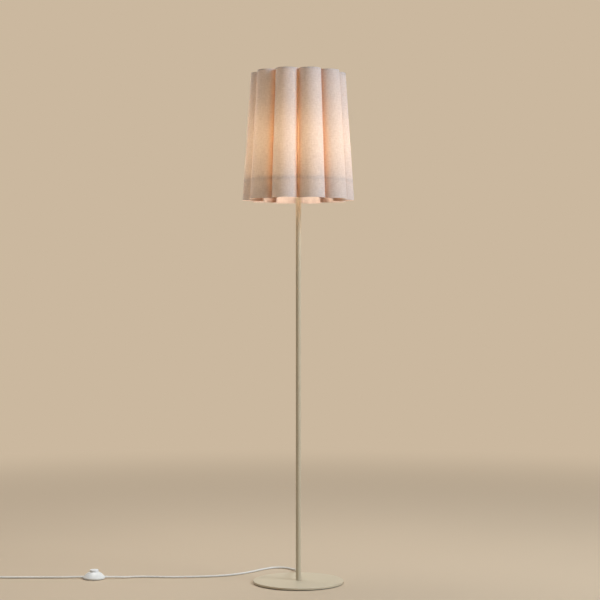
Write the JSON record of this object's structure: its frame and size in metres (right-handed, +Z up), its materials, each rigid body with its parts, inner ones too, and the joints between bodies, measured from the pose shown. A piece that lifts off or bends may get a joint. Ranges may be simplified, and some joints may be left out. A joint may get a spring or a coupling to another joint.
{
  "type": "floor lamp",
  "caption": "Floor lamp with a scalloped fabric drum shade on a slim straight pole, round flat base, and a foot switch on its cord.",
  "frame": {"origin": "centre of the base's underside, on the floor", "axes": "+Z up along the pole, +Y to the rear where the cord leaves the pole, +X to the right seen from the front"},
  "size_m": [1.229, 0.4286, 1.579],
  "materials": {
    "painted_steel": "satin sand-beige powder coat",
    "felt": "dark grey felt",
    "zinc_steel": "bright zinc plate",
    "white_wire": "white lacquer",
    "shade_cloth": "warm off-white woven cloth on a stiff film",
    "cord_sheath": "white sheath",
    "white_plastic": "white, slightly glossy",
    "porcelain": "glazed white",
    "brass": "bare brass",
    "nickel": "nickel plate",
    "black_insulator": "black glassy insulator",
    "circuit_board": "white solder mask",
    "opal_diffuser": "matt opal white",
    "pad_rubber": "grey rubber"
  },
  "bodies": {
    "lamp": {"base_plate": "painted_steel", "pole_lower": "painted_steel", "pole_middle": "painted_steel", "pole_upper": "painted_steel", "base_felt": "felt", "base_washer": "zinc_steel", "base_bolt": "zinc_steel", "pole_lower_stud": "zinc_steel", "pole_upper_stud": "zinc_steel", "pole_foot_insert": "zinc_steel", "pole_top_nipple": "zinc_steel", "switch_spring": "zinc_steel", "switch_screws": "zinc_steel", "inner_cord": "cord_sheath", "cord_to_switch": "cord_sheath", "cord_to_coil": "cord_sheath", "cord_coil": "cord_sheath", "cord_tail": "cord_sheath", "holder_leads": "cord_sheath", "switch_leads": "cord_sheath", "cord_bush": "cord_sheath", "switch_boots": "cord_sheath", "holder_cap": "white_plastic", "holder_body": "white_plastic", "shade_clamp_ring": "white_plastic", "switch_base": "white_plastic", "switch_cover": "white_plastic", "switch_mechanism": "white_plastic", "plug_body": "white_plastic", "cord_tie": "white_plastic", "holder_core": "porcelain", "holder_terminals": "brass", "holder_contact": "brass", "holder_screw_shell": "nickel", "plug_pins": "nickel", "switch_pads": "pad_rubber"},
    "shade": {"shade_fabric": "shade_cloth", "shade_lower_ring": "white_wire", "shade_upper_ring": "white_wire", "shade_spider_arms": "white_wire", "shade_fitter_ring": "white_wire"},
    "bulb_foot": {"bulb_tip": "nickel"},
    "bulb": {"bulb_cap": "nickel", "bulb_insulator": "black_insulator", "bulb_housing": "white_plastic", "bulb_led_board": "circuit_board", "bulb_globe": "opal_diffuser"},
    "button": {"switch_button": "white_plastic"}
  },
  "joints": [
    {"name": "button_press", "type": "slide", "parent": "lamp", "child": "button", "axis": [0, 0, -1], "range_m": [0, 0.004], "stiffness_N_per_m": 900, "springref_m": -0.003, "deforming": ["switch_spring"]},
    {"name": "shade_turn", "type": "hinge", "parent": "lamp", "child": "shade", "pos_m": [0, 0, 1.2772], "axis": [0, 0, 1], "continuous": true},
    {"name": "bulb_rise", "type": "slide", "parent": "lamp", "child": "bulb_foot", "axis": [0, 0, 1], "range_m": [0, 0.0216]},
    {"name": "bulb_turn", "type": "hinge", "parent": "bulb_foot", "child": "bulb", "pos_m": [0, 0, 1.306], "axis": [0, 0, 1], "range_deg": [0, 2160.5]}
  ],
  "couplings": [
    {"joint": "bulb_turn", "follows": "bulb_rise", "rad_per_m": 1745.3}
  ]
}
